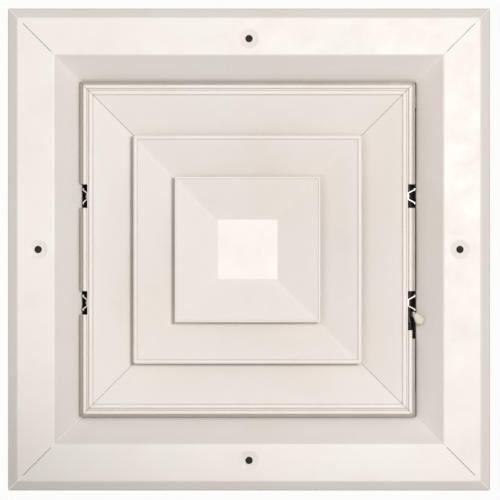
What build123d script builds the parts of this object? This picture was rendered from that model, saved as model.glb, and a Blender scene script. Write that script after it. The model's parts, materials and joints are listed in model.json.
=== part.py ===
from build123d import *
import os
from math import cos, radians, sin, sqrt

# Square ceiling air diffuser for a nominal 8 x 8 inch duct opening: a mitred frame that is screwed
# to the ceiling, a louvre core that pulls down out of it, and a five-blade damper in its neck.
#
# Frame of reference: millimetres, +Z up into the duct, the ceiling is the plane z = 0 and the
# origin is the middle of the opening. The face looks down. Sides are named as on a plan:
# east is +X, south is +Y, west is -X, north is -Y.

# ---- frame ----
FRAME_HALF = 142.5  # half of the overall width
FLANGE_OUTER = 136.8  # where the outer bevel meets the flat flange
FLANGE_INNER = 114.9  # where the flat flange meets the inner slope
NECK_HALF = 99.5  # half of the clear width inside the neck
FLANGE_DROP = 5.5  # how far the flange stands below the ceiling
EDGE_HEM = 1.2  # upright edge that meets the ceiling
NECK_START = 12.5  # height where the slope turns into the neck
NECK_TOP = 45.0
SHEET = 1.2
BEND = 1.6  # outside radius of a bend
MITRE_GAP = 0.12  # each rail stops this far from the mitre plane

# ---- ceiling screws ----
SCREW_RADIUS_AT = 124.5  # distance of each screw from the middle
SCREW_HOLE = 2.2
DIMPLE_RADIUS = 5.75
DIMPLE_DEPTH = 1.1

# ---- corner joints of the frame ----
PLATE_THICK = 0.8
PLATE_INNER = 117.0
PLATE_OUTER = 134.0
PLATE_LEG = 42.0
ANGLE_LEG = 15.0
ANGLE_LOW = 15.0
ANGLE_HIGH = 31.0

# ---- foam gasket ----
GASKET_INNER = 118.0
GASKET_OUTER = 131.0
DISH_CLEAR = 0.3  # room in the foam round the back of a screw seat

# ---- rivets ----
RIVET = 1.2  # shank radius of the corner rivets
RIVET_CLEAR = 0.05
HEAD = 2.3
HEAD_HEIGHT = 0.8
TAIL_HEIGHT = 0.4
CLIP_RIVET = 0.9  # the clip rivets sit between the two legs
CLIP_HEAD = 1.4
STRAP_HEAD = 1.8  # smaller heads, so they sit on the narrow louvre feet

# ---- core ----
CORE_SHIFT = -0.8  # the sprung core hangs this far west of the middle of the neck
CORE_HALF = 97.7
FACE = 6.0  # height of the louvre edges
LIP_RADIUS = 1.1
BEAD_RADIUS = 1.4
GROOVE_WIDTH = 1.0
RIM_FLOOR = 7.6  # bottom of the groove between lip and bead
RIM_BACK = 9.0
SHOULDER_HALF = 99.6  # set-back edge that covers the gap to the neck
SHOULDER_THICK = 1.6
WALL_OUTER = 95.2  # upright wall of the core
WALL_TOP = 24.0
FOOT = 24.5  # height of the louvre feet that the straps sit on
FOOT_WIDTH = 4.0
SAG = 1.0  # how hollow a louvre is
OUTER_FOOT = 60.0
MIDDLE_HALF = 67.9
MIDDLE_BEAD = 1.3
MIDDLE_FOOT = 36.0
CORNER_ROUND = 1.7
PAN_HALF = 43.3
PAN_BEAD = 0.7
PAN_FLAT = 17.9  # half of the flat middle square
PAN_LEVEL = 20.0
NOTCH_HALF = 7.0
LEVER_NOTCH_END = 48.0
SHOULDER_CUT_END = 53.0  # the set-back edge is cut this far, so the finger passes at both its ends
CORE_ANGLE_LEG = 12.0
CORE_ANGLE_LOW = 11.0
CORE_ANGLE_HIGH = 22.0

# ---- straps on the back of the core ----
STRAP_WIDTH = 12.0
STRAP_THICK = 1.5
STRAP_HALF = OUTER_FOOT + 0.5
CROSS_HALF = 9.0
STUD_RADIUS = 2.0
SPACER_RADIUS = 5.0
NUT_RADIUS = 4.0
NUT_HEIGHT = 3.2

# ---- spring clips ----
CLIP_AT = 31.7
CLIP_THICK = 0.7
CLIP_HALF = 4.9
CLIP_SEAT = 1.7  # half of the flat that is riveted to the wall
CLIP_TOE = 1.0
CLIP_LOW = 10.0
CLIP_HIGH = 19.0
CLIP_BEND = 0.7
CLIP_WALL_GAP = 0.1  # the rounded toes stand about this much further off

# ---- damper casing ----
CASING_HALF = 99.3
CASING_SHEET = 1.0
CASING_LOW = 33.5
CASING_TOP = 81.0
CASING_FLANGE = 10.0
TAB_LENGTH = 12.0

# ---- damper blades and linkage ----
BLADES = 5
BLADE_PITCH = 39.2
BLADE_AXIS = 57.0
BLADE_HALF = 19.3
BLADE_SHEET = 0.8
BLADE_WEST = -96.1
BLADE_EAST = 91.8
BARREL_RADIUS = 3.0
LAP_LIP = 1.9
LAP_RISE = 0.6
PIVOT_RADIUS = 2.0
PIVOT_GRIP = 20.0  # length of a pivot pin inside its barrel
PIVOT_END = 100.3
BUSH_CLEAR = 0.05
BUSH_RADIUS = 3.5
BUSH_FLANGE = 5.0
BUSH_FLANGE_THICK = 0.8
CRANK_RADIUS = 6.4
CRANK_SWING = 36.0  # the crank stands this many degrees before bottom when shut
CRANK_THICK = 1.6
CRANK_PIN = 1.2
CRANK_PIN_HEAD = 2.0
CRANK_BOSS = 5.0  # radius of the crank round the pivot
CRANK_TOE = 2.8  # radius of the crank round its pin
LINK_NEAR = 93.9
LINK_THICK = 1.5
LINK_HEIGHT = 11.0
LINK_MARGIN = 2.4  # from the crank pins to the top edge
LINK_CLEAR = 0.05
OPEN_PIVOT_CLEAR = 0.3
MIDDLE_BLADE = 3

# ---- lever ----
LEVER_THICK = 1.0
LEVER_LOW_FACE = 97.2  # inner face of the lever beside the core
LEVER_SOUTH = 40.0
LEVER_WIDTH = 3.0
JOGGLE_HIGH = 32.0
JOGGLE_LOW = 29.0
FINGER_RADIUS = 2.9
FINGER_ROOT = 2.1  # radius of the finger where it joins the lever
FINGER_THICK = 1.8
FINGER_FACE = 2.4
FINGER_START = (99.4, 39.4)
FINGER_END = (101.2, 41.8)
LEVER_RIVET = 0.9
LEVER_HEAD = 1.5
LEVER_HEAD_HEIGHT = 0.3

os.makedirs("parts", exist_ok=True)

SIDES = {"east": 0, "south": 90, "west": 180, "north": 270}
CORNERS = {"se": 0, "sw": 90, "nw": 180, "ne": 270}
BLADE_Y = [BLADE_PITCH * (k - (BLADES - 1) / 2) for k in range(BLADES)]
CRANK_Y = -CRANK_RADIUS * sin(radians(CRANK_SWING))
CRANK_Z = -CRANK_RADIUS * cos(radians(CRANK_SWING))
LINK_LEVEL = BLADE_AXIS + CRANK_Z
LINK_FAR = LINK_NEAR + LINK_THICK


def save(part, name):
    """Label a finished piece and write it to its own file."""
    part.label = name
    export_step(part, f"parts/{name}.step")


def core_place(part):
    """Move a piece that was drawn round the Z axis to where the core hangs."""
    return part.moved(Location((CORE_SHIFT, 0, 0)))


def sheet_profile(points, thick, side, bend):
    """Section of a bent sheet: one face follows the points, the other is offset from it."""
    with BuildSketch() as profile:
        with BuildLine():
            FilletPolyline(*points, radius=bend)
            offset(amount=thick, side=side)
        make_face()
    return profile.sketch


def mitred_rail(profile, reach, gap):
    """East rail: a section in (distance from the middle, height), mitred at both ends."""
    with BuildPart() as rail:
        with BuildSketch(Plane.XZ):
            add(profile)
        extrude(amount=reach, both=True)
        for slant in (-1, 1):
            split(bisect_by=Plane(origin=(gap * sqrt(2), 0, 0), z_dir=(1, slant, 0)), keep=Keep.TOP)
    return rail.part


def square_ring(profile, half):
    """One-piece square ring: a section carried round a square with mitred corners."""
    with BuildPart() as ring:
        with BuildLine():
            Polyline((half, 0), (half, half), (-half, half), (-half, -half), (half, -half), (half, 0))
        with BuildSketch(Plane.XZ):
            add(profile)
        sweep(transition=Transition.RIGHT)
    return ring.part


def rivet(shank, radius, head, head_height, tail):
    """Rivet along +Z: its head stands below z = 0, its shank is that long, its tail is on top."""
    with BuildPart() as piece:
        with BuildSketch(Plane.XZ):
            with BuildLine():
                Polyline((head, 0), (radius, 0), (radius, shank), (head * 0.8, shank),
                         (head * 0.8, shank + tail), (0, shank + tail), (0, -head_height))
                ThreePointArc((0, -head_height), (head * 0.6, -head_height * 0.8), (head, 0))
            make_face()
        revolve(axis=Axis.Z)
    return piece.part


def placed_copies(part, places):
    """The same piece at several places, as separate solids in one compound."""
    return Compound(children=[part.moved(place) for place in places])


def wall_points(face, offsets, height):
    """Rivet places on all four sides: the rivets point outwards through a wall."""
    places = []
    for angle in SIDES.values():
        for along in offsets:
            places.append(Location((0, 0, 0), (0, 0, angle)) * Location((face, along, height), (0, 90, 0)))
    return places


def pierce(part, places, radius, depth):
    """Drill round holes that start at the given places and run along their own Z."""
    with BuildPart() as pierced:
        add(part)
        with Locations(*places):
            Cylinder(radius=radius, height=depth, align=(Align.CENTER, Align.CENTER, Align.MIN),
                     mode=Mode.SUBTRACT)
    return pierced.part


# ---------------------------------------------------------------- frame rails
ANGLE_RIVET_AT = [-(NECK_HALF - ANGLE_LEG / 2 - 1.5), NECK_HALF - ANGLE_LEG / 2 - 1.5]
ANGLE_RIVET_HEIGHTS = (19.0, 27.0)
ANGLE_RIVETS = [place for height in ANGLE_RIVET_HEIGHTS
                for place in wall_points(NECK_HALF - SHEET, ANGLE_RIVET_AT, height)]
NECK_RIVET_AT = [-60.0, 60.0]
NECK_RIVET_HEIGHT = 39.0
NECK_RIVETS = wall_points(CASING_HALF - CASING_SHEET, NECK_RIVET_AT, NECK_RIVET_HEIGHT)

frame_section = sheet_profile(
    [(FRAME_HALF, 0), (FRAME_HALF, -EDGE_HEM), (FLANGE_OUTER, -FLANGE_DROP), (FLANGE_INNER, -FLANGE_DROP),
     (NECK_HALF, NECK_START), (NECK_HALF, NECK_TOP)], SHEET, Side.RIGHT, BEND)

with BuildPart() as frame_rail:
    add(mitred_rail(frame_section, FRAME_HALF + 5, MITRE_GAP))
    with Locations((SCREW_RADIUS_AT, 0, -FLANGE_DROP)):
        # the screw seat is pressed up into a shallow dish
        Cone(bottom_radius=DIMPLE_RADIUS + SHEET / 2, top_radius=SCREW_HOLE + SHEET,
             height=DIMPLE_DEPTH + SHEET, align=(Align.CENTER, Align.CENTER, Align.MIN))
        Cone(bottom_radius=DIMPLE_RADIUS, top_radius=SCREW_HOLE, height=DIMPLE_DEPTH,
             align=(Align.CENTER, Align.CENTER, Align.MIN), mode=Mode.SUBTRACT)
        Cylinder(radius=SCREW_HOLE, height=3 * SHEET, align=(Align.CENTER, Align.CENTER, Align.MIN),
                 mode=Mode.SUBTRACT)

drilled_rail = pierce(frame_rail.part, [place for place in ANGLE_RIVETS + NECK_RIVETS
                                        if place.position.X > abs(place.position.Y)],
                      RIVET + RIVET_CLEAR, 2 * SHEET + 1)
for side, angle in SIDES.items():
    save(drilled_rail.rotate(Axis.Z, angle), f"frame_rail_{side}")

# ---------------------------------------------------------------- flange corner plates
flange_back = -FLANGE_DROP + SHEET
with BuildPart() as corner_plate:
    with BuildSketch(Plane.XY.offset(flange_back)):
        with BuildLine():
            near, far = PLATE_INNER, PLATE_OUTER
            start = far - PLATE_LEG
            Polyline((start, near), (near, near), (near, start), (far, start), (far, far), (start, far),
                     close=True)
        make_face()
    extrude(amount=PLATE_THICK)
    fillet(corner_plate.edges().filter_by(Axis.Z).group_by(Axis.X)[-1].group_by(Axis.Y)[-1], radius=2.0)

quarter_turns = [Location((0, 0, 0), (0, 0, angle)) for angle in CORNERS.values()]
save(placed_copies(corner_plate.part, quarter_turns), "flange_corner_plates")

# ---------------------------------------------------------------- angles inside the neck corners
with BuildPart() as neck_angle:
    with BuildSketch(Plane.XY.offset(ANGLE_LOW)):
        with BuildLine():
            near = NECK_HALF - SHEET
            start = NECK_HALF - ANGLE_LEG
            Polyline((start, NECK_HALF), (start, near), (near, near), (near, start), (NECK_HALF, start),
                     (NECK_HALF, NECK_HALF), close=True)
        make_face()
    extrude(amount=ANGLE_HIGH - ANGLE_LOW)

drilled_angle = pierce(neck_angle.part, [place for place in ANGLE_RIVETS
                                         if place.position.X > 0 and place.position.Y > 0],
                       RIVET + RIVET_CLEAR, 2 * SHEET)
for corner, angle in CORNERS.items():
    save(drilled_angle.rotate(Axis.Z, angle), f"neck_angle_{corner}")

angle_rivet = rivet(2 * SHEET, RIVET, HEAD, HEAD_HEIGHT, TAIL_HEIGHT)
save(placed_copies(angle_rivet, ANGLE_RIVETS), "neck_angle_rivets")

# ---------------------------------------------------------------- foam gasket behind the flange
with BuildPart() as gasket_strip:
    with BuildSketch(Plane.XY.offset(flange_back)):
        with BuildLine():
            Polyline((GASKET_INNER, -GASKET_INNER), (GASKET_OUTER, -GASKET_OUTER),
                     (GASKET_OUTER, GASKET_OUTER), (GASKET_INNER, GASKET_INNER), close=True)
        make_face()
    extrude(amount=FLANGE_DROP - SHEET)
    # the foam is recessed for the back of the screw seat and punched for the screw
    with Locations((SCREW_RADIUS_AT, 0, flange_back)):
        Cone(bottom_radius=DIMPLE_RADIUS + DISH_CLEAR, top_radius=SCREW_HOLE + SHEET + DISH_CLEAR,
             height=DIMPLE_DEPTH + DISH_CLEAR, align=(Align.CENTER, Align.CENTER, Align.MIN),
             mode=Mode.SUBTRACT)
        Cylinder(radius=SCREW_HOLE, height=FLANGE_DROP, align=(Align.CENTER, Align.CENTER, Align.MIN),
                 mode=Mode.SUBTRACT)
    # the foam is squeezed thinner over the corner plates
    plate_end = PLATE_OUTER - PLATE_LEG
    for sign in (-1, 1):
        with Locations((SCREW_RADIUS_AT, sign * (plate_end + PLATE_LEG / 2), flange_back)):
            Box(PLATE_OUTER - PLATE_INNER, PLATE_LEG, PLATE_THICK,
                align=(Align.CENTER, Align.CENTER, Align.MIN), mode=Mode.SUBTRACT)

save(placed_copies(gasket_strip.part, quarter_turns), "foam_gasket_strips")

# ---------------------------------------------------------------- damper casing
CORNER_RIVET_HEIGHTS = (50.0, 70.0)
TAB_RIVET_AT = CASING_HALF - CASING_SHEET - TAB_LENGTH / 2
CORNER_RIVETS = [Location((sx * (CASING_HALF - 2 * CASING_SHEET), sy * TAB_RIVET_AT, height),
                          (0, 90 * sx, 0))
                 for height in CORNER_RIVET_HEIGHTS for sx in (-1, 1) for sy in (-1, 1)]

END_HALF = CASING_HALF - CASING_SHEET
with BuildPart() as side_wall:
    with BuildSketch(Plane.XZ):
        add(sheet_profile([(CASING_HALF, CASING_LOW), (CASING_HALF, CASING_TOP),
                           (CASING_HALF - CASING_FLANGE, CASING_TOP)],
                          CASING_SHEET, Side.LEFT, BEND))
    extrude(amount=END_HALF, both=True)
    with Locations(*[Location((CASING_HALF - 2, y, BLADE_AXIS), (0, 90, 0)) for y in BLADE_Y]):
        Cylinder(radius=BUSH_RADIUS, height=4, mode=Mode.SUBTRACT)

east_holes = [place for place in NECK_RIVETS + CORNER_RIVETS
              if place.position.X > 97 and abs(place.position.Y) < 98]
drilled_side = pierce(side_wall.part, east_holes, RIVET + RIVET_CLEAR, 3 * SHEET)
save(drilled_side, "damper_wall_east")
save(drilled_side.rotate(Axis.Z, 180), "damper_wall_west")

with BuildPart() as end_wall:
    with BuildSketch(Plane.YZ):
        add(sheet_profile([(CASING_HALF, CASING_LOW), (CASING_HALF, CASING_TOP),
                           (CASING_HALF - CASING_FLANGE, CASING_TOP)],
                          CASING_SHEET, Side.LEFT, BEND))
    extrude(amount=END_HALF, both=True)
    for sign in (-1, 1):
        # the top flange stops short of the side walls' flanges
        with Locations((sign * END_HALF, CASING_HALF - CASING_SHEET, CASING_TOP)):
            Box(2 * CASING_FLANGE, 2 * CASING_FLANGE, 4 * CASING_SHEET,
                align=(Align.CENTER, Align.MAX, Align.CENTER), mode=Mode.SUBTRACT)
        with Locations((sign * (END_HALF - CASING_SHEET / 2), END_HALF - TAB_LENGTH / 2,
                        (CASING_LOW + CASING_TOP) / 2)):
            Box(CASING_SHEET, TAB_LENGTH, CASING_TOP - CASING_LOW - 8)

south_holes = [place for place in NECK_RIVETS if place.position.Y > 97]
south_tab_holes = [place for place in CORNER_RIVETS if place.position.Y > 0]
drilled_end = pierce(end_wall.part, south_holes + south_tab_holes, RIVET + RIVET_CLEAR, 3 * SHEET)
save(drilled_end, "damper_wall_south")
save(drilled_end.rotate(Axis.Z, 180), "damper_wall_north")

neck_rivet = rivet(NECK_HALF + SHEET - END_HALF, RIVET, HEAD, HEAD_HEIGHT, TAIL_HEIGHT)
tab_rivet = rivet(2 * CASING_SHEET, RIVET, HEAD, HEAD_HEIGHT, TAIL_HEIGHT)
casing_rivets = Compound(children=[neck_rivet.moved(place) for place in NECK_RIVETS]
                         + [tab_rivet.moved(place) for place in CORNER_RIVETS])
save(casing_rivets, "damper_casing_rivets")

# ---------------------------------------------------------------- pivot bushes
with BuildPart() as bush:
    with BuildSketch(Plane.YZ.offset(END_HALF - BUSH_FLANGE_THICK)):
        Circle(BUSH_FLANGE)
    extrude(amount=BUSH_FLANGE_THICK)
    with BuildSketch(Plane.YZ.offset(END_HALF)):
        Circle(BUSH_RADIUS)
    extrude(amount=PIVOT_END - END_HALF)
    with BuildSketch(Plane.YZ.offset(END_HALF - BUSH_FLANGE_THICK)):
        Circle(PIVOT_RADIUS + BUSH_CLEAR)
    extrude(amount=PIVOT_END, mode=Mode.SUBTRACT)

east_bushes = [Location((0, y, BLADE_AXIS)) for y in BLADE_Y]
west_bushes = [Location((0, y, BLADE_AXIS), (0, 0, 180)) for y in BLADE_Y]
save(placed_copies(bush.part, east_bushes), "pivot_bushes_east")
save(placed_copies(bush.part, west_bushes), "pivot_bushes_west")

# ---------------------------------------------------------------- damper blades
half_sheet = BLADE_SHEET / 2
lip_low = half_sheet + LAP_RISE
for number, y in enumerate(BLADE_Y, start=1):
    with BuildPart() as blade:
        with BuildSketch(Plane.YZ.offset(BLADE_WEST)):
            with Locations((y, BLADE_AXIS)):
                Rectangle(2 * BLADE_HALF, BLADE_SHEET)
                Circle(BARREL_RADIUS)
                Circle(PIVOT_RADIUS, mode=Mode.SUBTRACT)
            if number < BLADES:
                # a stepped lip laps over the next blade
                with BuildLine(Plane.XY.move(Location((y + BLADE_HALF, BLADE_AXIS)))):
                    Polyline((-1.6, half_sheet), (-1.6, lip_low + BLADE_SHEET),
                             (LAP_LIP, lip_low + BLADE_SHEET), (LAP_LIP, lip_low), (0, lip_low),
                             (0, half_sheet), close=True)
                make_face()
        extrude(amount=BLADE_EAST - BLADE_WEST)
    save(blade.part, f"damper_blade_{number}")

# ---------------------------------------------------------------- cranks on the blades
for number, y in enumerate(BLADE_Y, start=1):
    with BuildPart() as crank:
        with BuildSketch(Plane.YZ.offset(BLADE_EAST)):
            with Locations((y, BLADE_AXIS)):
                Circle(CRANK_BOSS)
            with Locations((y + CRANK_Y, LINK_LEVEL)):
                Circle(CRANK_TOE)
            make_hull()
            with Locations((y, BLADE_AXIS)):
                Circle(PIVOT_RADIUS, mode=Mode.SUBTRACT)
            with Locations((y + CRANK_Y, LINK_LEVEL)):
                Circle(CRANK_PIN, mode=Mode.SUBTRACT)
        extrude(amount=CRANK_THICK)
        # tab that lies on the blade and is spot-welded to it
        with Locations((BLADE_EAST + CRANK_THICK, y - BARREL_RADIUS - 0.6, BLADE_AXIS + half_sheet)):
            Box(12 + CRANK_THICK, 8, 1.2, align=(Align.MAX, Align.MAX, Align.MIN))
        with Locations((BLADE_EAST, y - BARREL_RADIUS - 0.6, BLADE_AXIS + half_sheet)):
            Box(CRANK_THICK, 8, 4, align=(Align.MIN, Align.MAX, Align.MAX))
    save(crank.part, f"blade_crank_{number}")

# ---------------------------------------------------------------- pins: two pivots and a crank pin
crank_pin_end = LINK_FAR + 0.1
with BuildPart() as crank_pin:
    with BuildSketch(Plane.YZ.offset(BLADE_EAST)):
        Circle(CRANK_PIN)
    extrude(amount=crank_pin_end - BLADE_EAST)
    with BuildSketch(Plane.YZ.offset(crank_pin_end)):
        Circle(CRANK_PIN_HEAD)
    extrude(amount=0.8)
    fillet(crank_pin.faces().sort_by(Axis.X)[-1].edges(), radius=0.5)

with BuildPart() as east_pivot:
    with BuildSketch(Plane.YZ.offset(BLADE_EAST - PIVOT_GRIP)):
        Circle(PIVOT_RADIUS)
    extrude(amount=PIVOT_END - BLADE_EAST + PIVOT_GRIP)
    chamfer(east_pivot.faces().sort_by(Axis.X)[-1].edges(), length=0.4)

with BuildPart() as west_pivot:
    with BuildSketch(Plane.YZ.offset(-PIVOT_END)):
        Circle(PIVOT_RADIUS)
    extrude(amount=PIVOT_END + BLADE_WEST + PIVOT_GRIP)
    chamfer(west_pivot.faces().sort_by(Axis.X)[0].edges(), length=0.4)

for number, y in enumerate(BLADE_Y, start=1):
    blade_axis = Location((0, y, BLADE_AXIS))
    crank_axis = Location((0, y + CRANK_Y, LINK_LEVEL))
    pins = Compound(children=[east_pivot.part.moved(blade_axis), west_pivot.part.moved(blade_axis),
                              crank_pin.part.moved(crank_axis)])
    save(pins, f"blade_pins_{number}")

# ---------------------------------------------------------------- link bar
link_south = BLADE_Y[-1] + CRANK_Y + 5
link_north = BLADE_Y[0] + CRANK_Y - 5
link_middle = LINK_LEVEL + LINK_MARGIN - LINK_HEIGHT / 2
lever_middle = LEVER_SOUTH - LEVER_WIDTH / 2
LEVER_RIVET_LEVELS = (link_middle - 3.4, link_middle - 0.4)
LEVER_RIVETS = [Location((LINK_NEAR, lever_middle, level), (0, 90, 0)) for level in LEVER_RIVET_LEVELS]

with BuildPart() as link_bar:
    with BuildSketch(Plane.YZ.offset(LINK_NEAR)):
        with Locations(((link_south + link_north) / 2, link_middle)):
            RectangleRounded(link_south - link_north, LINK_HEIGHT, 2.5)
        for number, y in enumerate(BLADE_Y, start=1):
            clear = LINK_CLEAR if number == MIDDLE_BLADE else OPEN_PIVOT_CLEAR
            with Locations((y + CRANK_Y, LINK_LEVEL)):
                Circle(CRANK_PIN + clear, mode=Mode.SUBTRACT)
    extrude(amount=LINK_THICK)

save(pierce(link_bar.part, LEVER_RIVETS, LEVER_RIVET + RIVET_CLEAR, 4), "link_bar")

# ---------------------------------------------------------------- lever
lever_top = LINK_LEVEL - CRANK_PIN_HEAD - 0.4  # just under the head of the nearest crank pin
finger_back = FINGER_FACE + FINGER_THICK
with BuildPart() as lever:
    with BuildSketch(Plane.XZ.offset(-LEVER_SOUTH)):
        with BuildLine():
            Polyline((LINK_FAR, lever_top), (LINK_FAR, JOGGLE_HIGH), (LEVER_LOW_FACE, JOGGLE_LOW),
                     (LEVER_LOW_FACE, finger_back - 0.6), (LEVER_LOW_FACE + LEVER_THICK, finger_back - 0.6),
                     (LEVER_LOW_FACE + LEVER_THICK, JOGGLE_LOW), (LINK_FAR + LEVER_THICK, JOGGLE_HIGH),
                     (LINK_FAR + LEVER_THICK, lever_top), close=True)
        make_face()
    extrude(amount=LEVER_WIDTH)
    with BuildSketch(Plane.XY.offset(FINGER_FACE)):
        with Locations(FINGER_START):
            Circle(FINGER_ROOT)
        with Locations(FINGER_END):
            Circle(FINGER_RADIUS)
        make_hull()
    extrude(amount=FINGER_THICK)
    chamfer(lever.faces().sort_by(Axis.Z)[0].edges(), length=0.8)

save(pierce(lever.part, LEVER_RIVETS, LEVER_RIVET + RIVET_CLEAR, 4), "damper_lever")
lever_rivet = rivet(LINK_THICK + LEVER_THICK, LEVER_RIVET, LEVER_HEAD, LEVER_HEAD_HEIGHT,
                    TAIL_HEIGHT)
save(placed_copies(lever_rivet, LEVER_RIVETS), "lever_rivets")

# ---------------------------------------------------------------- core rails
with BuildSketch() as core_section:
    with Locations((CORE_HALF - LIP_RADIUS, FACE + LIP_RADIUS)):
        Circle(LIP_RADIUS)
    with Locations((CORE_HALF, FACE + LIP_RADIUS)):
        Rectangle(2 * LIP_RADIUS, RIM_BACK - FACE - LIP_RADIUS, align=(Align.MAX, Align.MIN))
    bead_middle = CORE_HALF - 2 * LIP_RADIUS - GROOVE_WIDTH - BEAD_RADIUS
    with Locations((bead_middle, FACE - 0.4 + BEAD_RADIUS)):
        Circle(BEAD_RADIUS)
    with Locations((CORE_HALF, RIM_FLOOR)):
        Rectangle(CORE_HALF - bead_middle + BEAD_RADIUS, RIM_BACK - RIM_FLOOR, align=(Align.MAX, Align.MIN))
    with Locations((SHOULDER_HALF, RIM_BACK)):
        Rectangle(SHOULDER_HALF - WALL_OUTER + SHEET, SHOULDER_THICK, align=(Align.MAX, Align.MIN))
    with Locations((WALL_OUTER, RIM_FLOOR)):
        Rectangle(SHEET, WALL_TOP - RIM_FLOOR, align=(Align.MAX, Align.MIN))
    with BuildLine():
        louvre_edge = (bead_middle - BEAD_RADIUS + 0.3, FACE + 1.0)
        SagittaArc(louvre_edge, (OUTER_FOOT, FOOT), SAG)
        Line((OUTER_FOOT, FOOT), (OUTER_FOOT - FOOT_WIDTH, FOOT))
        offset(amount=SHEET, side=Side.RIGHT)
    make_face()

STRAP_RIVET_OUTER = OUTER_FOOT - FOOT_WIDTH / 2
STRAP_RIVET_MIDDLE = MIDDLE_FOOT - FOOT_WIDTH / 2
STRAP_RIVETS = [Location((0, 0, 0), (0, 0, angle)) * Location((distance, 0, FOOT))
                for angle in SIDES.values() for distance in (STRAP_RIVET_OUTER, STRAP_RIVET_MIDDLE)]
CORE_ANGLE_RIVET_AT = [-(WALL_OUTER - SHEET - CORE_ANGLE_LEG / 2), WALL_OUTER - SHEET - CORE_ANGLE_LEG / 2]
CORE_ANGLE_RIVETS = wall_points(WALL_OUTER - 2 * SHEET, CORE_ANGLE_RIVET_AT,
                                (CORE_ANGLE_LOW + CORE_ANGLE_HIGH) / 2)
CLIP_LEVEL = (CLIP_LOW + CLIP_HIGH) / 2
CLIP_RIVETS = [Location((sx * (WALL_OUTER + CLIP_THICK), sy * CLIP_AT, CLIP_LEVEL), (0, -90 * sx, 0))
               for sx in (-1, 1) for sy in (-1, 1)]

plain_core_rail = mitred_rail(core_section.sketch, CORE_HALF + 5, MITRE_GAP / 2)
for side, angle in SIDES.items():
    turn = Location((0, 0, 0), (0, 0, angle))
    holes = [place for place in STRAP_RIVETS + CORE_ANGLE_RIVETS
             if place.position.X > 50 and place.position.X > abs(place.position.Y)]
    with BuildPart() as core_rail:
        add(plain_core_rail)
        if side in ("east", "west"):
            # notches in the rim make room for the clips and, on the east side, for the lever
            for sign in (-1, 1):
                stop = LEVER_NOTCH_END if side == "east" and sign > 0 else CLIP_AT + NOTCH_HALF
                middle = sign * (CLIP_AT - NOTCH_HALF + stop) / 2
                with Locations((WALL_OUTER, middle, FACE - 1)):
                    Box(6, stop - CLIP_AT + NOTCH_HALF, RIM_BACK + SHOULDER_THICK - FACE + 2,
                        align=(Align.MIN, Align.CENTER, Align.MIN), mode=Mode.SUBTRACT)
            if side == "east":
                with Locations((CORE_HALF, SHOULDER_CUT_END, RIM_BACK - 1)):
                    Box(6, SHOULDER_CUT_END - LEVER_NOTCH_END + 1, SHOULDER_THICK + 2,
                        align=(Align.MIN, Align.MAX, Align.MIN), mode=Mode.SUBTRACT)
            with Locations(*[Location((WALL_OUTER + 1, sign * CLIP_AT, CLIP_LEVEL), (0, -90, 0))
                             for sign in (-1, 1)]):
                Cylinder(radius=CLIP_RIVET + RIVET_CLEAR, height=6, mode=Mode.SUBTRACT)
        with Locations(*[Location(place) for place in holes]):
            Cylinder(radius=RIVET + RIVET_CLEAR, height=6, mode=Mode.SUBTRACT)
    save(core_place(core_rail.part.moved(turn)), f"core_rail_{side}")

# ---------------------------------------------------------------- angles inside the core corners
with BuildPart() as core_angle:
    with BuildSketch(Plane.XY.offset(CORE_ANGLE_LOW)):
        with BuildLine():
            far = WALL_OUTER - SHEET
            near = far - SHEET
            start = far - CORE_ANGLE_LEG
            Polyline((start, far), (start, near), (near, near), (near, start), (far, start), (far, far),
                     close=True)
        make_face()
    extrude(amount=CORE_ANGLE_HIGH - CORE_ANGLE_LOW)

drilled_core_angle = pierce(core_angle.part, [place for place in CORE_ANGLE_RIVETS
                                              if place.position.X > 0 and place.position.Y > 0],
                            RIVET + RIVET_CLEAR, 2 * SHEET)
for corner, angle in CORNERS.items():
    save(core_place(drilled_core_angle.rotate(Axis.Z, angle)), f"core_angle_{corner}")

core_angle_rivet = rivet(2 * SHEET, RIVET, HEAD, HEAD_HEIGHT, TAIL_HEIGHT)
save(core_place(placed_copies(core_angle_rivet, CORE_ANGLE_RIVETS)), "core_angle_rivets")

# ---------------------------------------------------------------- middle louvre
with BuildSketch() as middle_section:
    with Locations((MIDDLE_HALF - MIDDLE_BEAD, FACE + MIDDLE_BEAD)):
        Circle(MIDDLE_BEAD)
    with BuildLine():
        SagittaArc((MIDDLE_HALF - 2 * MIDDLE_BEAD + 0.3, FACE + 1.0), (MIDDLE_FOOT, FOOT), SAG)
        Line((MIDDLE_FOOT, FOOT), (MIDDLE_FOOT - FOOT_WIDTH, FOOT))
        offset(amount=SHEET, side=Side.RIGHT)
    make_face()

with BuildPart() as middle_louvre:
    add(square_ring(middle_section.sketch, MIDDLE_HALF))
    with BuildSketch(Plane.XY.offset(FACE - 1)):
        RectangleRounded(2 * MIDDLE_HALF, 2 * MIDDLE_HALF, CORNER_ROUND)
    extrude(amount=FOOT, mode=Mode.INTERSECT)
    with Locations(*[place for place in STRAP_RIVETS if place.position.Z > 0
                     and max(abs(place.position.X), abs(place.position.Y)) < 50]):
        Cylinder(radius=RIVET + RIVET_CLEAR, height=6, mode=Mode.SUBTRACT)

save(core_place(middle_louvre.part), "core_ring_middle")

# ---------------------------------------------------------------- centre pan
with BuildSketch() as pan_section:
    with Locations((PAN_HALF - PAN_BEAD, FACE + PAN_BEAD)):
        Circle(PAN_BEAD)
    with BuildLine():
        SagittaArc((PAN_HALF - 2 * PAN_BEAD + 0.3, FACE + 0.5), (PAN_FLAT, PAN_LEVEL), SAG / 2)
        Line((PAN_FLAT, PAN_LEVEL), (PAN_FLAT - FOOT_WIDTH, PAN_LEVEL))
        offset(amount=SHEET, side=Side.RIGHT)
    make_face()

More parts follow.
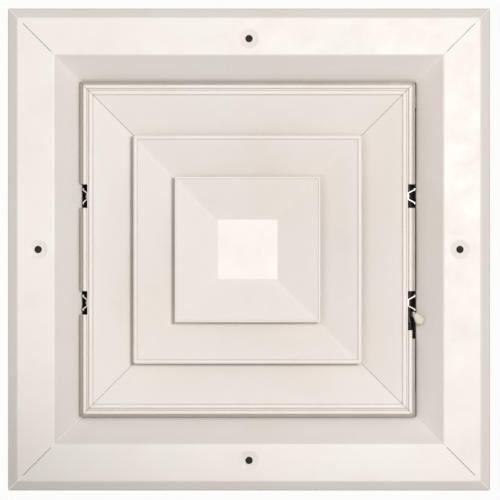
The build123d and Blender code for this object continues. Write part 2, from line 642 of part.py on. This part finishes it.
with BuildPart() as center_pan:
    add(square_ring(pan_section.sketch, PAN_HALF))
    with Locations((0, 0, PAN_LEVEL)):
        Box(2 * PAN_FLAT - 1, 2 * PAN_FLAT - 1, SHEET, align=(Align.CENTER, Align.CENTER, Align.MIN))

save(core_place(center_pan.part), "core_pan_center")

# ---------------------------------------------------------------- straps, stud, spacer and nut
strap_low = FOOT + SHEET
with BuildPart() as strap_north_south:
    with BuildSketch(Plane.XY.offset(strap_low)):
        RectangleRounded(STRAP_WIDTH, 2 * STRAP_HALF, 3)
        with Locations(*[(0, place.position.Y) for place in STRAP_RIVETS if abs(place.position.Y) > 1]):
            Circle(RIVET + RIVET_CLEAR, mode=Mode.SUBTRACT)
        Circle(STUD_RADIUS + 0.1, mode=Mode.SUBTRACT)
    extrude(amount=STRAP_THICK)

with BuildPart() as strap_east_west:
    with BuildSketch(Plane.XZ):
        with BuildLine():
            Polyline((-STRAP_HALF, strap_low), (-CROSS_HALF - 4, strap_low),
                     (-CROSS_HALF, strap_low + STRAP_THICK), (CROSS_HALF, strap_low + STRAP_THICK),
                     (CROSS_HALF + 4, strap_low), (STRAP_HALF, strap_low))
            offset(amount=STRAP_THICK, side=Side.LEFT, kind=Kind.INTERSECTION)
        make_face()
    extrude(amount=STRAP_WIDTH / 2, both=True)
    with Locations(*[(place.position.X, 0, strap_low) for place in STRAP_RIVETS
                     if abs(place.position.X) > 1]):
        Cylinder(radius=RIVET + RIVET_CLEAR, height=6, mode=Mode.SUBTRACT)
    with Locations((0, 0, strap_low)):
        Cylinder(radius=STUD_RADIUS + 0.1, height=12, mode=Mode.SUBTRACT)

save(core_place(strap_north_south.part), "strap_north_south")
save(core_place(strap_east_west.part), "strap_east_west")

pan_back = PAN_LEVEL + SHEET
with BuildPart() as spacer:
    with BuildSketch(Plane.XY.offset(pan_back)):
        Circle(SPACER_RADIUS)
        Circle(STUD_RADIUS + 0.1, mode=Mode.SUBTRACT)
    extrude(amount=strap_low - pan_back)

nut_low = strap_low + 2 * STRAP_THICK
with BuildPart() as stud:
    with BuildSketch(Plane.XY.offset(pan_back)):
        Circle(STUD_RADIUS)
    extrude(amount=nut_low + NUT_HEIGHT + 1 - pan_back)
    chamfer(stud.faces().sort_by(Axis.Z)[-1].edges(), length=0.4)

with BuildPart() as nut:
    with BuildSketch(Plane.XY.offset(nut_low)):
        RegularPolygon(radius=NUT_RADIUS, side_count=6)
        Circle(STUD_RADIUS, mode=Mode.SUBTRACT)
    extrude(amount=NUT_HEIGHT)

save(core_place(spacer.part), "center_spacer")
save(core_place(stud.part), "center_stud")
save(core_place(nut.part), "center_nut")

strap_rivet = rivet(SHEET + STRAP_THICK, RIVET, STRAP_HEAD, HEAD_HEIGHT, TAIL_HEIGHT)
save(core_place(placed_copies(strap_rivet, STRAP_RIVETS)), "strap_rivets")

# ---------------------------------------------------------------- spring clips
for corner, sx, sy in (("ne", 1, -1), ("nw", -1, -1), ("se", 1, 1), ("sw", -1, 1)):
    seat_face = WALL_OUTER + CLIP_THICK
    reach = NECK_HALF - CLIP_WALL_GAP - sx * CORE_SHIFT - seat_face
    with BuildPart() as clip:
        with BuildSketch(Plane.XY.offset(CLIP_LOW)):
            with BuildLine():
                # two legs spring off the riveted seat and lean on the neck wall with curled toes
                toe = CLIP_HALF - CLIP_TOE
                FilletPolyline((reach - 0.8 * CLIP_TOE, -CLIP_HALF), (reach, -toe), (0, -CLIP_SEAT),
                               (0, CLIP_SEAT), (reach, toe), (reach - 0.8 * CLIP_TOE, CLIP_HALF),
                               radius=CLIP_BEND)
                offset(amount=CLIP_THICK, side=Side.LEFT)
            make_face()
        extrude(amount=CLIP_HIGH - CLIP_LOW)
        with Locations(Location((0, 0, CLIP_LEVEL), (0, 90, 0))):
            Cylinder(radius=CLIP_RIVET + RIVET_CLEAR, height=4, mode=Mode.SUBTRACT)
    face = Location((sx * seat_face, sy * CLIP_AT, 0), (0, 0, 0 if sx > 0 else 180))
    save(core_place(clip.part.moved(face)), f"spring_clip_{corner}")

clip_rivet = rivet(CLIP_THICK + SHEET, CLIP_RIVET, CLIP_HEAD, HEAD_HEIGHT, TAIL_HEIGHT)
save(core_place(placed_copies(clip_rivet, CLIP_RIVETS)), "clip_rivets")
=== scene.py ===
import json
import math

import bmesh
import bpy
from mathutils import Matrix, Vector, noise


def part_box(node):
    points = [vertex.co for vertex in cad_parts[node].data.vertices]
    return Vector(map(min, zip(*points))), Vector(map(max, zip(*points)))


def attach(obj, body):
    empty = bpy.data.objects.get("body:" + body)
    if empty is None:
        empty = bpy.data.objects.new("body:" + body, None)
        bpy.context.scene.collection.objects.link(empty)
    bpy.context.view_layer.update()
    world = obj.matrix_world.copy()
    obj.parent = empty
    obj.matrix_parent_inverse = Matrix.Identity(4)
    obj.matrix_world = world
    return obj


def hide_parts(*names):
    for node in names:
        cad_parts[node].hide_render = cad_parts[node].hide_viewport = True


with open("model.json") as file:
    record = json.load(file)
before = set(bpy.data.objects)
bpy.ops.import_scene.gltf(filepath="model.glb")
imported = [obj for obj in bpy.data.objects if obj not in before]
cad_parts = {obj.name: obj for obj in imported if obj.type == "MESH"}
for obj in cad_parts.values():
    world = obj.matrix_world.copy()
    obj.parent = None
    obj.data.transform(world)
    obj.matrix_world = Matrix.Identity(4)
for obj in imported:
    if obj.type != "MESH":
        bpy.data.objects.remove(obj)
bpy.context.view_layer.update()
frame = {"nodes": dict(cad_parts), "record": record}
MM = 0.001


# ---------------------------------------------------------------- camera
# The camera looks straight up at the face: east (+X) is on the right and north (-Y) is at the top.
CAMERA_DISTANCE = 2.0
FRAME_WIDTH = 0.2950  # width of the picture at the flange
FLANGE_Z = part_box("frame_rail_east")[0].z
AIM = Vector((0.6, 0.3, 0)) * MM
SENSOR_WIDTH = 36.0
NEAR_LIMIT = 0.05

camera_data = bpy.data.cameras.new("camera")
camera_data.sensor_width = SENSOR_WIDTH
camera_data.lens = camera_data.sensor_width * (CAMERA_DISTANCE + FLANGE_Z) / FRAME_WIDTH
camera_data.clip_start = NEAR_LIMIT
camera = bpy.data.objects.new("camera", camera_data)
camera.location = (AIM.x, AIM.y, -CAMERA_DISTANCE)
camera.rotation_euler = (math.pi, 0, 0)
bpy.context.collection.objects.link(camera)
bpy.context.scene.camera = camera
bpy.context.scene.view_settings.view_transform = "Standard"


# ---------------------------------------------------------------- node helpers
def start_material(name):
    """A new node material: (material, its nodes, its links, the principled shader)."""
    material = bpy.data.materials.new(name)
    material.use_nodes = True
    nodes = material.node_tree.nodes
    return material, nodes, material.node_tree.links, nodes["Principled BSDF"]


def place_coordinates(nodes, links, stretch=(1, 1, 1)):
    """Object coordinates in metres, stretched along the axes."""
    coordinates = nodes.new("ShaderNodeTexCoord")
    mapping = nodes.new("ShaderNodeMapping")
    mapping.inputs["Scale"].default_value = stretch
    links.new(coordinates.outputs["Object"], mapping.inputs["Vector"])
    return mapping.outputs["Vector"]


def noise_value(nodes, links, vector, scale, detail=3.0, roughness=0.5):
    texture = nodes.new("ShaderNodeTexNoise")
    texture.inputs["Scale"].default_value = scale
    texture.inputs["Detail"].default_value = detail
    texture.inputs["Roughness"].default_value = roughness
    links.new(vector, texture.inputs["Vector"])
    return texture.outputs["Fac"]


def remap(nodes, links, value, low, high, to_low=0.0, to_high=1.0):
    """A value mapped from one range to another and clamped."""
    node = nodes.new("ShaderNodeMapRange")
    node.inputs["From Min"].default_value = low
    node.inputs["From Max"].default_value = high
    node.inputs["To Min"].default_value = to_low
    node.inputs["To Max"].default_value = to_high
    links.new(value, node.inputs["Value"])
    return node.outputs["Result"]


def calculate(nodes, links, operation, first, second):
    node = nodes.new("ShaderNodeMath")
    node.operation = operation
    node.use_clamp = True
    for socket, value in zip(node.inputs, (first, second)):
        if isinstance(value, (int, float)):
            socket.default_value = value
        else:
            links.new(value, socket)
    return node.outputs["Value"]


def mix_colours(nodes, links, factor, first, second, blend="MIX"):
    """Mix of two colours, each a tuple or a socket."""
    node = nodes.new("ShaderNodeMix")
    node.data_type = "RGBA"
    node.blend_type = blend
    links.new(factor, node.inputs["Factor"])
    for socket, colour in ((node.inputs[6], first), (node.inputs[7], second)):
        if isinstance(colour, tuple):
            socket.default_value = (*colour, 1)
        else:
            links.new(colour, socket)
    return node.outputs[2]


def add_bump(nodes, links, shader, layers, edge=None):
    """Stack bumps (height, distance, strength) on the shader, over softened edges."""
    normal = None
    if edge:
        bevel = nodes.new("ShaderNodeBevel")
        bevel.samples = 4
        bevel.inputs["Radius"].default_value = edge
        normal = bevel.outputs["Normal"]
    for height, distance, strength in layers:
        bump = nodes.new("ShaderNodeBump")
        bump.inputs["Distance"].default_value = distance
        bump.inputs["Strength"].default_value = strength
        links.new(height, bump.inputs["Height"])
        if normal:
            links.new(normal, bump.inputs["Normal"])
        normal = bump.outputs["Normal"]
    links.new(normal, shader.inputs["Normal"])


def crevice(nodes, links, distance):
    """1 in the open, lower in corners and gaps within that distance."""
    shade = nodes.new("ShaderNodeAmbientOcclusion")
    shade.samples = 4
    shade.inputs["Distance"].default_value = distance
    return shade.outputs["AO"]


def height_above(nodes, links):
    """The piece's own Z in metres."""
    coordinates = nodes.new("ShaderNodeTexCoord")
    split = nodes.new("ShaderNodeSeparateXYZ")
    links.new(coordinates.outputs["Object"], split.inputs["Vector"])
    return split.outputs["Z"]


def facing_up(nodes, links):
    """How far the surface faces up, from -1 to 1."""
    geometry = nodes.new("ShaderNodeNewGeometry")
    split = nodes.new("ShaderNodeSeparateXYZ")
    links.new(geometry.outputs["Normal"], split.inputs["Vector"])
    return split.outputs["Z"]


def core_reach(nodes, links):
    """Distance from the middle of the core, measured square like its rim, in metres."""
    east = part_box("core_rail_east")[1].x
    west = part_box("core_rail_west")[0].x
    coordinates = nodes.new("ShaderNodeTexCoord")
    centred = nodes.new("ShaderNodeMapping")
    centred.inputs["Location"].default_value = (-(east + west) / 2, 0, 0)
    links.new(coordinates.outputs["Object"], centred.inputs["Vector"])
    split = nodes.new("ShaderNodeSeparateXYZ")
    links.new(centred.outputs["Vector"], split.inputs["Vector"])
    across = calculate(nodes, links, "ABSOLUTE", split.outputs["X"], 0.0)
    along = calculate(nodes, links, "ABSOLUTE", split.outputs["Y"], 0.0)
    return calculate(nodes, links, "MAXIMUM", across, along)


def shaded_underside(nodes, links, shader, tone, metallic, colour):
    """Painted shade: the cut edges and other faces that face down into the room get a darker colour and lose
    most of their metal shine.
    """
    under = remap(nodes, links, facing_up(nodes, links), -0.95, -0.6, 1.0, 0.0)
    links.new(mix_colours(nodes, links, under, tone, colour), shader.inputs["Base Color"])
    links.new(remap(nodes, links, under, 0.0, 1.0, metallic, 0.1), shader.inputs["Metallic"])


# ---------------------------------------------------------------- materials
SOFT_EDGE = 0.00045  # radius that the coat rounds edges to
CREVICE_REACH = 0.0022  # how far from a corner the painted shade reaches
OVERSPRAY = 0.011  # height over which the coat thins out
EDGE_WANDER = 0.014  # height by which its edge wanders
RECESS_SHADE_EDGE = 0.0003  # width of the border of the painted recess shade


def powder_coat(name, colour, shade_and_smudge_colour, roughness, bare_from=None, recess_shade_from=None):
    """Satin off-white powder coat: cloudy tone, fine orange peel, painted shade in the corners.

    bare_from is the height where the overspray thins out and bare metal shows.
    The last argument is the distance from the middle past which the set-back rim is painted dark grey-brown
    as shade in its recess.
    """
    material, nodes, links, shader = start_material(name)
    vector = place_coordinates(nodes, links)
    cloud = noise_value(nodes, links, vector, 14, 3)
    fleck = noise_value(nodes, links, vector, 420, 2)
    smudge = noise_value(nodes, links, vector, 55, 5, 0.65)
    warm = tuple(c * k for c, k in zip(colour, (0.985, 0.965, 0.945)))
    tone = mix_colours(nodes, links, remap(nodes, links, cloud, 0.35, 0.68), colour, warm)
    tone = mix_colours(nodes, links, remap(nodes, links, smudge, 0.56, 0.78, 0, 0.12), tone, shade_and_smudge_colour)
    tone = mix_colours(nodes, links, remap(nodes, links, fleck, 0.66, 0.74, 0, 0.10), tone, shade_and_smudge_colour)
    # Painted shade: the colour darkens toward the shade colour in corners and gaps, by ambient occlusion.
    open_air = remap(nodes, links, crevice(nodes, links, CREVICE_REACH), 0.25, 0.85)
    shaded_tone = mix_colours(nodes, links, open_air, shade_and_smudge_colour, tone)
    # Painted shade: past that distance the set-back rim of the core is painted dark grey-brown, standing in
    # for the shade in its recess.
    if recess_shade_from is not None:
        recess_shade = remap(nodes, links, core_reach(nodes, links), recess_shade_from, recess_shade_from + RECESS_SHADE_EDGE)
        shaded_tone = mix_colours(nodes, links, recess_shade, shaded_tone, (0.34, 0.305, 0.28))
    gloss = remap(nodes, links, smudge, 0.3, 0.75, roughness - 0.05, roughness + 0.10)
    if bare_from is not None:
        ragged = noise_value(nodes, links, vector, 120, 4, 0.7)
        lifted = calculate(nodes, links, "MULTIPLY", ragged, EDGE_WANDER)
        edge = nodes.new("ShaderNodeMath")
        edge.operation = "ADD"
        links.new(height_above(nodes, links), edge.inputs[0])
        links.new(lifted, edge.inputs[1])
        bare = remap(nodes, links, edge.outputs["Value"], bare_from, bare_from + OVERSPRAY)
        streak = noise_value(nodes, links, place_coordinates(nodes, links, (1, 1, 30)), 160, 3)
        metal = mix_colours(nodes, links, streak, (0.42, 0.43, 0.44), (0.62, 0.62, 0.63))
        shaded_tone = mix_colours(nodes, links, bare, shaded_tone, metal)
        links.new(calculate(nodes, links, "MULTIPLY", bare, 0.85), shader.inputs["Metallic"])
    links.new(shaded_tone, shader.inputs["Base Color"])
    links.new(gloss, shader.inputs["Roughness"])
    shader.inputs["Specular IOR Level"].default_value = 0.30
    peel = noise_value(nodes, links, vector, 900, 2)
    wave = noise_value(nodes, links, vector, 60, 2)
    add_bump(nodes, links, shader, [(wave, 0.0006, 0.10), (peel, 0.00012, 0.16)], edge=SOFT_EDGE)
    return material


def spangled_zinc(name):
    """Hot-dip galvanised sheet with crystal spangles."""
    material, nodes, links, shader = start_material(name)
    vector = place_coordinates(nodes, links)
    crystals = nodes.new("ShaderNodeTexVoronoi")
    crystals.inputs["Scale"].default_value = 210
    crystals.inputs["Randomness"].default_value = 1.0
    links.new(vector, crystals.inputs["Vector"])
    split = nodes.new("ShaderNodeSeparateColor")
    links.new(crystals.outputs["Color"], split.inputs["Color"])
    stain = noise_value(nodes, links, vector, 45, 4, 0.6)
    tone = mix_colours(nodes, links, split.outputs["Red"], (0.43, 0.45, 0.47), (0.66, 0.67, 0.68))
    tone = mix_colours(nodes, links, remap(nodes, links, stain, 0.5, 0.75, 0, 0.5), tone, (0.52, 0.51, 0.48))
    # Painted shade on the faces that face down: dark grey-brown.
    shaded_underside(nodes, links, shader, tone, 0.85, (0.20, 0.185, 0.17))
    links.new(remap(nodes, links, split.outputs["Green"], 0, 1, 0.34, 0.56), shader.inputs["Roughness"])
    fine = noise_value(nodes, links, vector, 700, 2)
    add_bump(nodes, links, shader, [(split.outputs["Blue"], 0.00005, 0.2), (fine, 0.00005, 0.2)], edge=0.0003)
    return material


def bright_metal(name, dark, light, roughness, grain=(1, 1, 1), grain_scale=260, edge=0.00025):
    """Plated or drawn metal with a directional grain and handling marks."""
    material, nodes, links, shader = start_material(name)
    along = noise_value(nodes, links, place_coordinates(nodes, links, grain), grain_scale, 3)
    marks = noise_value(nodes, links, place_coordinates(nodes, links), 90, 5, 0.7)
    tone = mix_colours(nodes, links, along, dark, light)
    stained = tuple(c * k for c, k in zip(dark, (1.0, 0.93, 0.80)))
    tone = mix_colours(nodes, links, remap(nodes, links, marks, 0.52, 0.75, 0, 0.6), tone, stained)
    # Painted shade on the faces that face down: dull grey-brown.
    shaded_underside(nodes, links, shader, tone, 0.95, (0.50, 0.465, 0.43))
    links.new(remap(nodes, links, marks, 0.3, 0.75, roughness - 0.08, roughness + 0.16),
              shader.inputs["Roughness"])
    add_bump(nodes, links, shader, [(along, 0.00004, 0.35)], edge=edge)
    return material


def black_coating(name):
    """Matt brown-black stove enamel on sheet steel, with duct dust on what faces up."""
    material, nodes, links, shader = start_material(name)
    vector = place_coordinates(nodes, links)
    cloud = noise_value(nodes, links, vector, 30, 4)
    lint = noise_value(nodes, links, vector, 340, 4, 0.7)
    tone = mix_colours(nodes, links, cloud, (0.028, 0.025, 0.023), (0.050, 0.045, 0.040))
    up = remap(nodes, links, facing_up(nodes, links), 0.3, 1.0)
    heaped = calculate(nodes, links, "MULTIPLY", up, remap(nodes, links, lint, 0.38, 0.72, 0.05, 0.75))
    patchy = calculate(nodes, links, "MULTIPLY", heaped, remap(nodes, links, cloud, 0.3, 0.7, 0.35, 1.0))
    tone = mix_colours(nodes, links, patchy, tone, (0.26, 0.245, 0.22))
    links.new(tone, shader.inputs["Base Color"])
    links.new(remap(nodes, links, cloud, 0.3, 0.7, 0.46, 0.66), shader.inputs["Roughness"])
    peel = noise_value(nodes, links, vector, 800, 2)
    add_bump(nodes, links, shader, [(peel, 0.00008, 0.2), (lint, 0.0001, 0.1)], edge=0.0003)
    return material


def closed_cell_foam(name):
    """Black closed-cell foam tape with open skin cells on its cut faces."""
    material, nodes, links, shader = start_material(name)
    vector = place_coordinates(nodes, links)
    cells = nodes.new("ShaderNodeTexVoronoi")
    cells.feature = "DISTANCE_TO_EDGE"
    cells.inputs["Scale"].default_value = 1500
    links.new(vector, cells.inputs["Vector"])
    cloud = noise_value(nodes, links, vector, 60, 3)
    tone = mix_colours(nodes, links, cloud, (0.012, 0.012, 0.013), (0.030, 0.029, 0.029))
    links.new(tone, shader.inputs["Base Color"])
    links.new(remap(nodes, links, cloud, 0.3, 0.7, 0.82, 0.96), shader.inputs["Roughness"])
    add_bump(nodes, links, shader, [(cells.outputs["Distance"], 0.0003, 0.7), (cloud, 0.0006, 0.4)])
    return material


def natural_nylon(name):
    """Moulded natural nylon: milky, faintly mottled."""
    material, nodes, links, shader = start_material(name)
    vector = place_coordinates(nodes, links)
    flow = noise_value(nodes, links, vector, 240, 4)
    tone = mix_colours(nodes, links, flow, (0.72, 0.70, 0.62), (0.84, 0.83, 0.77))
    links.new(tone, shader.inputs["Base Color"])
    shader.inputs["Subsurface Weight"].default_value = 0.25
    shader.inputs["Subsurface Radius"].default_value = (0.0012, 0.0010, 0.0008)
    links.new(remap(nodes, links, flow, 0.3, 0.7, 0.34, 0.5), shader.inputs["Roughness"])
    add_bump(nodes, links, shader, [(flow, 0.00005, 0.3)], edge=0.0003)
    return material


PAINT = (0.845, 0.815, 0.79)
# darker tone of the coat: colour of the painted corner shade, also of its random smudges and flecks
PAINT_SHADE_AND_SMUDGE = (0.66, 0.60, 0.55)
RIM_EDGE = 0.0978  # painted recess shade starts here, just outside the lip of the core rim
MATERIALS = {
    "frame_paint": powder_coat("frame_paint", PAINT, PAINT_SHADE_AND_SMUDGE, 0.40, bare_from=0.030),
    "core_paint": powder_coat("core_paint", PAINT, PAINT_SHADE_AND_SMUDGE, 0.40, recess_shade_from=RIM_EDGE),
    # Painted shade: the lever, white-coated like the frame, is given a darker colour and shade colour to
    # stand in for the shade on it.
    "lever_paint": powder_coat("lever_paint", (0.62, 0.575, 0.515), (0.40, 0.35, 0.30), 0.36),
    "damper_coating": black_coating("damper_coating"),
    "galvanised_steel": spangled_zinc("galvanised_steel"),
    "zinc_plate": bright_metal("zinc_plate", (0.50, 0.49, 0.45), (0.72, 0.71, 0.67), 0.34, (1, 0.15, 1)),
    "zinc_rivet": bright_metal("zinc_rivet", (0.56, 0.56, 0.56), (0.76, 0.76, 0.75), 0.40),
    "spring_steel": bright_metal("spring_steel", (0.30, 0.27, 0.24), (0.55, 0.51, 0.46), 0.30, (1, 1, 0.1),
                                 900),
    "nylon": natural_nylon("nylon"),
    "black_foam": closed_cell_foam("black_foam"),
}

SLOT_OF = {part["node"]: part["material_slot"] for part in frame["record"]["subparts"]}
for node, piece in frame["nodes"].items():
    material = MATERIALS[SLOT_OF[node]]
    for place in piece.material_slots:
        place.material = material


# ---------------------------------------------------------------- mesh helpers
def finished_piece(name, mesh_data, body, slot):
    """Turn a bmesh into an object of the scene that rides on a body."""
    bmesh.ops.recalc_face_normals(mesh_data, faces=mesh_data.faces)
    mesh = bpy.data.meshes.new(name)
    mesh_data.to_mesh(mesh)
    mesh_data.free()
    piece = bpy.data.objects.new(name, mesh)
    bpy.context.collection.objects.link(piece)
    mesh.materials.append(MATERIALS[slot])
    for polygon in mesh.polygons:
        polygon.use_smooth = True
    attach(piece, body)
    return piece


LATHE_STEPS = 48


def lathe(mesh_data, centre, profile, steps=LATHE_STEPS):
    """Revolve a closed (radius, height) profile about a vertical axis through centre."""
    rings = []
    for step in range(steps):
        turn = 2 * math.pi * step / steps
        ring = [mesh_data.verts.new((centre.x + r * math.cos(turn), centre.y + r * math.sin(turn),
                                     centre.z + z)) for r, z in profile]
        rings.append(ring)
    for first, second in zip(rings, rings[1:] + rings[:1]):
        for k in range(len(profile)):
            n = (k + 1) % len(profile)
            mesh_data.faces.new((first[k], first[n], second[n], second[k]))


def screw_places(height):
    """The four ceiling screws, one in the middle of each side, at that height."""
    turns = [quarter * math.pi / 2 for quarter in range(4)]
    return [Vector((SCREW_AT * math.cos(turn), SCREW_AT * math.sin(turn), height)) for turn in turns]


# ---------------------------------------------------------------- foam gasket
# The foam is cut in four mitred strips, swells a little between its edges, and is recessed behind
# each screw seat. The punched screw hole in it stays closed until a screw opens it.
gasket_low, gasket_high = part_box("foam_gasket_strips")
plate_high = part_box("flange_corner_plates")[1].z
plate_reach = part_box("flange_corner_plates")[1].x
GASKET_OUT = gasket_high.x
GASKET_WIDTH = 13.0 * MM
GASKET_IN = GASKET_OUT - GASKET_WIDTH
PLATE_LEG = 42.0 * MM  # length of a corner plate's leg
SCREW_AT = (GASKET_OUT + GASKET_IN) / 2
ACROSS_STEPS = 8
ALONG_STEPS = 120
SWELL = 0.35 * MM  # room left for the bulge at each long edge
BULGE_SHARE = 0.9  # share of that room that the bulge fills
MITRE_ROOM = 0.2 * MM  # left open at the mitres
PLATE_ROOM = 0.4 * MM  # left open round a corner plate
LIFT = 0.05 * MM  # clears the sheet below
SINK = 0.15 * MM  # stays under the plane of the ceiling
WOBBLE = 0.12 * MM  # unevenness of the upper face
WOBBLE_ACROSS = 300
WOBBLE_ALONG = 160
WOBBLE_SEED = 7


def gasket_strip(mesh_data, turn):
    """One mitred strip, as a closed grid tube of four faces, rounded by its swell."""
    cos_turn, sin_turn = round(math.cos(turn)), round(math.sin(turn))
    sections = []
    for step in range(ALONG_STEPS + 1):
        share = 2 * step / ALONG_STEPS - 1
        outline = []
        for side, up in ((0, 0), (1, 0), (1, 1), (0, 1)):
            for k in range(ACROSS_STEPS):
                t = k / ACROSS_STEPS
                u, v = {(0, 0): (t, 0), (1, 0): (1, t), (1, 1): (1 - t, 1), (0, 1): (0, 1 - t)}[side, up]
                outline.append((u, v))
        ring = []
        for u, v in outline:
            pinch = SWELL * (1 - 4 * (v - 0.5) ** 2)
            out = GASKET_IN + SWELL + u * (GASKET_OUT - GASKET_IN - 2 * SWELL)
            out += (2 * u - 1) * pinch * BULGE_SHARE
            along = share * (out - MITRE_ROOM)
            over_plate = abs(along) > plate_reach - PLATE_LEG - PLATE_ROOM
            bottom = (plate_high if over_plate else gasket_low.z) + LIFT
            spot = Vector((out * WOBBLE_ACROSS, along * WOBBLE_ALONG, WOBBLE_SEED + turn))
            top = gasket_high.z - SINK + WOBBLE * noise.noise(spot)
            z = bottom + v * (top - bottom)
            ring.append(mesh_data.verts.new((cos_turn * out - sin_turn * along,
                                             sin_turn * out + cos_turn * along, z)))
        sections.append(ring)
    count = len(sections[0])
    for first, second in zip(sections, sections[1:]):
        for k in range(count):
            n = (k + 1) % count
            mesh_data.faces.new((first[k], first[n], second[n], second[k]))
    mesh_data.faces.new(sections[0])
    mesh_data.faces.new(sections[-1])


gasket_mesh = bmesh.new()
for quarter in range(4):
    gasket_strip(gasket_mesh, quarter * math.pi / 2)
gasket = finished_piece("foam_gasket", gasket_mesh, "frame", "black_foam")
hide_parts("foam_gasket_strips")

# recess behind each screw seat
RECESS_LOW_RADIUS = 6.05 * MM
RECESS_HIGH_RADIUS = 3.70 * MM
RECESS_DEPTH = 1.40 * MM
CUTTER_OVERHANG = 0.02 * MM
cutter_mesh = bmesh.new()
for middle in screw_places(gasket_low.z - CUTTER_OVERHANG + RECESS_DEPTH / 2):
    bmesh.ops.create_cone(cutter_mesh, cap_ends=True, segments=LATHE_STEPS, radius1=RECESS_LOW_RADIUS,
                          radius2=RECESS_HIGH_RADIUS, depth=RECESS_DEPTH, matrix=Matrix.Translation(middle))
cutter_data = bpy.data.meshes.new("gasket_cutter")
cutter_mesh.to_mesh(cutter_data)
cutter_mesh.free()
cutter = bpy.data.objects.new("gasket_cutter", cutter_data)
bpy.context.collection.objects.link(cutter)
cut = gasket.modifiers.new("cut", "BOOLEAN")
cut.operation = "DIFFERENCE"
cut.solver = "EXACT"
cut.object = cutter
cut_mesh = bpy.data.meshes.new_from_object(gasket.evaluated_get(bpy.context.evaluated_depsgraph_get()))
gasket.modifiers.clear()
gasket.data = cut_mesh
bpy.data.objects.remove(cutter)


# ---------------------------------------------------------------- pressed screw seats
SEAT_DEPTH = 1.05 * MM
# (radius, height) of the raised rim round the hole, in millimetres
SEAT_RIM = [(2.15, 0.35), (2.15, -0.10), (2.35, -0.28), (2.75, -0.28), (3.05, -0.12), (3.05, 0.20)]
seat_mesh = bmesh.new()
for middle in screw_places(FLANGE_Z + SEAT_DEPTH):
    lathe(seat_mesh, middle, [(r * MM, z * MM) for r, z in SEAT_RIM])
finished_piece("screw_seat_rims", seat_mesh, "frame", "frame_paint")


# ---------------------------------------------------------------- spot welds on the crank tabs
# (radius, height) of a weld mark, in millimetres
WELD = [(0.0, 0.10), (0.9, 0.05), (1.5, 0.22), (1.9, 0.10), (2.0, -0.05), (0.0, -0.05)]
WELD_ALONG = (4.0 * MM, 8.5 * MM)  # from the west end of the tab
TAB_MIDDLE = 12.6 * MM  # from the crank's south edge to the middle of its tab
TAB_ABOVE_BARREL = 4.6 * MM  # from the bottom of the blade's barrel to the top of the tab
LEAST_RADIUS = 0.01  # keeps the middle of a lathed mark open by a hair, in millimetres
WELD_STEPS = 24
for number in range(1, 6):
    low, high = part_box(f"blade_crank_{number}")
    tab_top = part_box(f"damper_blade_{number}")[0].z + TAB_ABOVE_BARREL
    weld_mesh = bmesh.new()
    for along in WELD_ALONG:
        middle = Vector((low.x + along, high.y - TAB_MIDDLE, tab_top))
        lathe(weld_mesh, middle, [(max(r, LEAST_RADIUS) * MM, z * MM) for r, z in WELD], WELD_STEPS)
    finished_piece(f"spot_welds_{number}", weld_mesh, f"blade_{number}", "zinc_plate")


# ---------------------------------------------------------------- floor and light
FLOOR_Z = -2.6
FLOOR_HALF = 9
floor_mesh = bmesh.new()
bmesh.ops.create_grid(floor_mesh, x_segments=8, y_segments=8, size=FLOOR_HALF)
for vertex in floor_mesh.verts:
    vertex.co.z = FLOOR_Z
floor_data = bpy.data.meshes.new("floor")
floor_mesh.to_mesh(floor_data)
floor_mesh.free()
floor = bpy.data.objects.new("floor", floor_data)
bpy.context.collection.objects.link(floor)
floor_material, floor_nodes, floor_links, floor_shader = start_material("floor")
floor_cloud = noise_value(floor_nodes, floor_links, place_coordinates(floor_nodes, floor_links), 1.3)
floor_links.new(mix_colours(floor_nodes, floor_links, floor_cloud, (0.80, 0.80, 0.79), (0.84, 0.84, 0.83)),
                floor_shader.inputs["Base Color"])
floor_shader.inputs["Roughness"].default_value = 0.8
floor_data.materials.append(floor_material)


def area_light(name, place, target, size, power, colour=(1, 1, 1)):
    data = bpy.data.lights.new(name, "AREA")
    data.shape = "DISK"
    data.size = size
    data.energy = power
    data.color = colour
    light = bpy.data.objects.new(name, data)
    light.location = place
    direction = Vector(target) - Vector(place)
    light.rotation_euler = direction.to_track_quat("-Z", "Y").to_euler()
    bpy.context.collection.objects.link(light)
    return light


# The key is east and a little north of the line of sight, and nearer to the face than the lens.
# Its cone fades out over the south-west corner.
KEY_PLACE = Vector((0.23, -0.10, -1.35))
KEY_AIM = Vector((0.12, -0.27, 0))
key_data = bpy.data.lights.new("key", "SPOT")
key_data.energy = 45.0
key_data.color = (1.0, 0.988, 0.975)
key_data.shadow_soft_size = 0.10
key_data.spot_size = math.radians(42.5)
key_data.spot_blend = 0.15
key = bpy.data.objects.new("key", key_data)
key.location = KEY_PLACE
key.rotation_euler = (KEY_AIM - KEY_PLACE).to_track_quat("-Z", "Y").to_euler()
bpy.context.collection.objects.link(key)
area_light("fill", (-0.30, -0.05, -1.5), (0, 0, 0), 0.9, 3.8, (1.0, 0.94, 0.89))
area_light("top_key", (1.1, -1.3, 1.7), (0, 0, 0), 0.8, 32.0)
area_light("top_fill", (-1.4, 0.9, 1.3), (0, 0, 0), 1.2, 16.0)

world = bpy.data.worlds.new("studio")
world.use_nodes = True
bpy.context.scene.world = world
world_nodes, world_links = world.node_tree.nodes, world.node_tree.links
backdrop = world_nodes["Background"]
backdrop.inputs["Color"].default_value = (1.0, 0.95, 0.91, 1)
backdrop.inputs["Strength"].default_value = 0.25
seen = world_nodes.new("ShaderNodeBackground")
seen.inputs["Color"].default_value = (0.975, 0.97, 0.965, 1)
path = world_nodes.new("ShaderNodeLightPath")
either = world_nodes.new("ShaderNodeMixShader")
world_links.new(path.outputs["Is Camera Ray"], either.inputs["Fac"])
world_links.new(backdrop.outputs["Background"], either.inputs[1])
world_links.new(seen.outputs["Background"], either.inputs[2])
world_links.new(either.outputs["Shader"], world_nodes["World Output"].inputs["Surface"])
